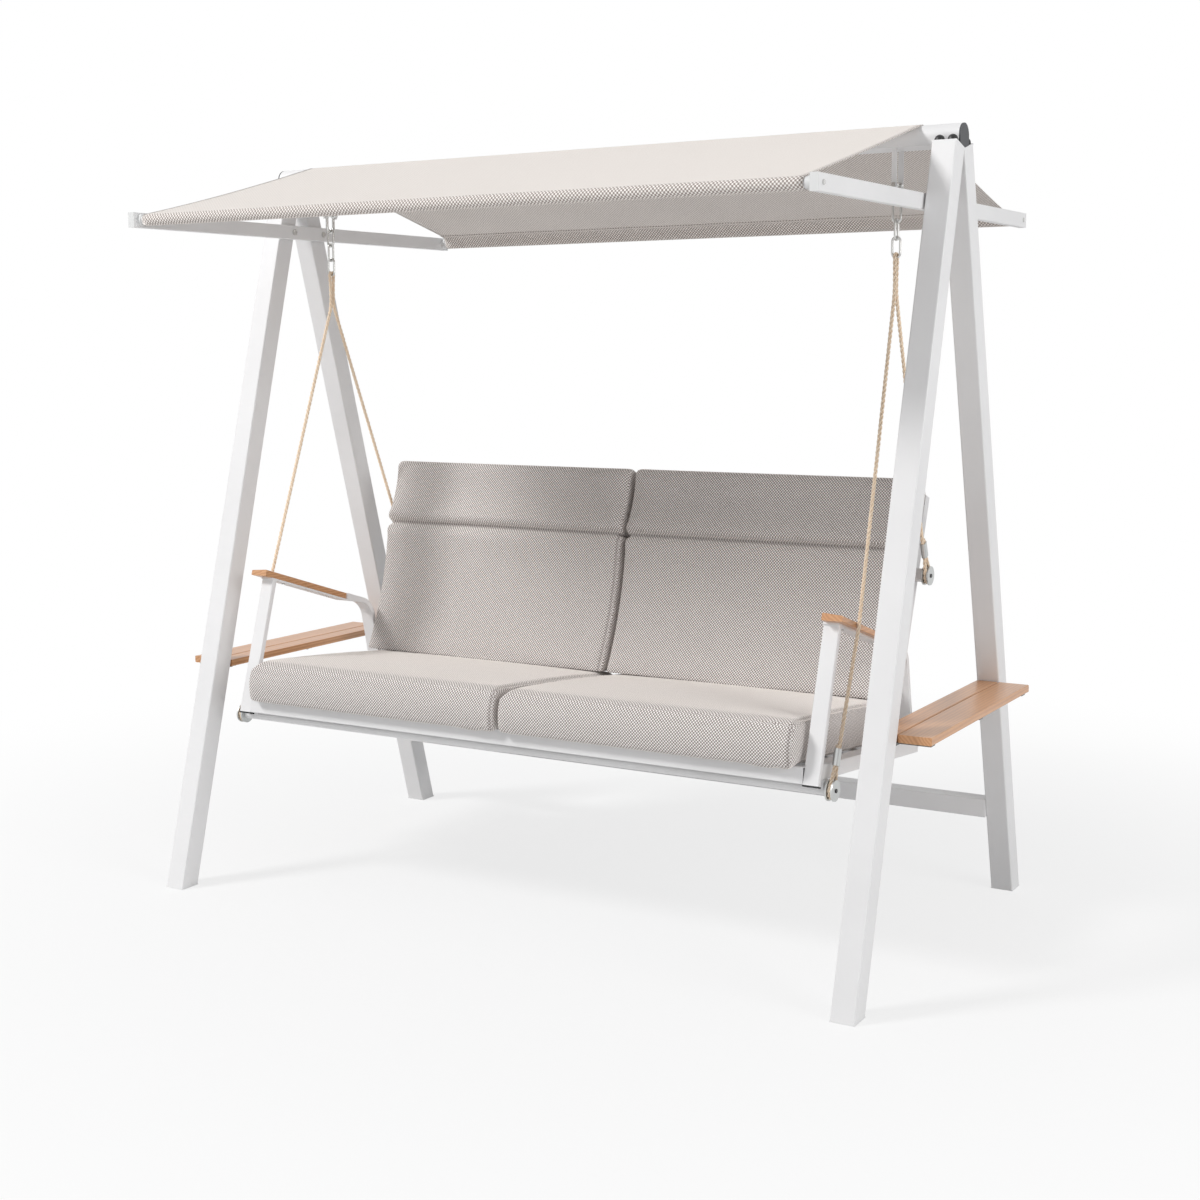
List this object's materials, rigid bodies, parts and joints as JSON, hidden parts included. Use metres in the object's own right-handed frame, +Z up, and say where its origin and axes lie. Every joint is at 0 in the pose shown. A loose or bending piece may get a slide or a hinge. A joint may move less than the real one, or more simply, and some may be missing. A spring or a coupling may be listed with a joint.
{
  "type": "canopy swing",
  "caption": "Free-standing garden swing with a leaning leg frame, a pitched fabric roof and a padded bench hung from ropes and chains, with wooden armrests and side tables.",
  "frame": {"origin": "on the floor, under the middle of the ridge beam", "axes": "+X along the ridge to the sitter's left, which is the viewer's right; +Y to the back; +Z up"},
  "size_m": [2.209, 1.38, 1.9913],
  "materials": {
    "white_frame": "matte",
    "teak": "satin",
    "roof_cloth": "matte",
    "cushion_cloth": "matte",
    "rope": "matte",
    "steel": "polished",
    "black_steel": "satin",
    "dark_metal": "matte",
    "grey_metal": "satin",
    "black_plastic": "matte",
    "grey_plastic": "matte",
    "white_plastic": "matte"
  },
  "bodies": {
    "frame": {"leg_front_left": "white_frame", "leg_front_right": "white_frame", "leg_rear_left": "white_frame", "leg_rear_right": "white_frame", "leg_feet": "white_plastic", "saddle_plates": "white_frame", "saddle_bolts": "black_steel", "ridge_beam": "white_frame", "ridge_end_caps": "grey_plastic", "roof_arm_left": "white_frame", "roof_arm_right": "white_frame", "roof_arm_caps": "white_plastic", "roof_arm_spacers": "white_plastic", "roof_arm_bolts": "steel", "roof_rod_collars": "white_plastic", "roof_rod_screws": "steel", "roof_rods": "white_frame", "roof_fabric": "roof_cloth", "rear_stretcher": "white_frame", "stretcher_sleeves": "white_frame", "table_brackets_left": "dark_metal", "table_brackets_right": "dark_metal", "table_slats_left": "teak", "table_slats_right": "teak", "table_screws": "steel", "hanger_straps": "white_frame", "hanger_shackles": "steel", "shackle_pins": "steel"},
    "chain_left": {"chain_links_left": "steel", "chain_ring_left": "steel"},
    "chain_right": {"chain_links_right": "steel", "chain_ring_right": "steel"},
    "seat": {"seat_front_rail": "white_frame", "seat_rear_rail": "white_frame", "seat_slats": "white_frame", "front_posts": "white_frame", "post_caps": "black_plastic", "seat_side_rails": "white_frame", "arm_bar_left": "white_frame", "arm_bar_right": "white_frame", "armrest_left": "teak", "armrest_right": "teak", "armrest_screws": "steel", "back_top_rail": "white_frame", "back_low_rail": "white_frame", "rear_cross_tube": "white_frame", "back_uprights": "white_frame", "front_cross_tube": "white_frame", "cross_tube_saddles": "white_frame", "rope_discs": "grey_metal", "disc_axles": "black_steel", "rope_left": "rope", "rope_right": "rope", "rope_ferrules": "grey_metal", "seat_cushion_left": "cushion_cloth", "seat_cushion_right": "cushion_cloth", "back_cushion_left": "cushion_cloth", "back_cushion_right": "cushion_cloth"}
  },
  "joints": [
    {"name": "swing", "type": "hinge", "parent": "frame", "child": "chain_left", "pos_m": [-0.86, 0, 1.8163], "axis": [1, 0, 0], "range_deg": [-20, 20]},
    {"name": "swing_right_chain", "type": "hinge", "parent": "frame", "child": "chain_right", "pos_m": [0.86, 0, 1.8163], "axis": [1, 0, 0], "range_deg": [-20, 20]},
    {"name": "seat_rock", "type": "hinge", "parent": "chain_left", "child": "seat", "pos_m": [-0.86, 0, 1.6864], "axis": [1, 0, 0], "range_deg": [-10, 10]}
  ],
  "couplings": [
    {"joint": "swing_right_chain", "follows": "swing", "ratio": 1}
  ]
}
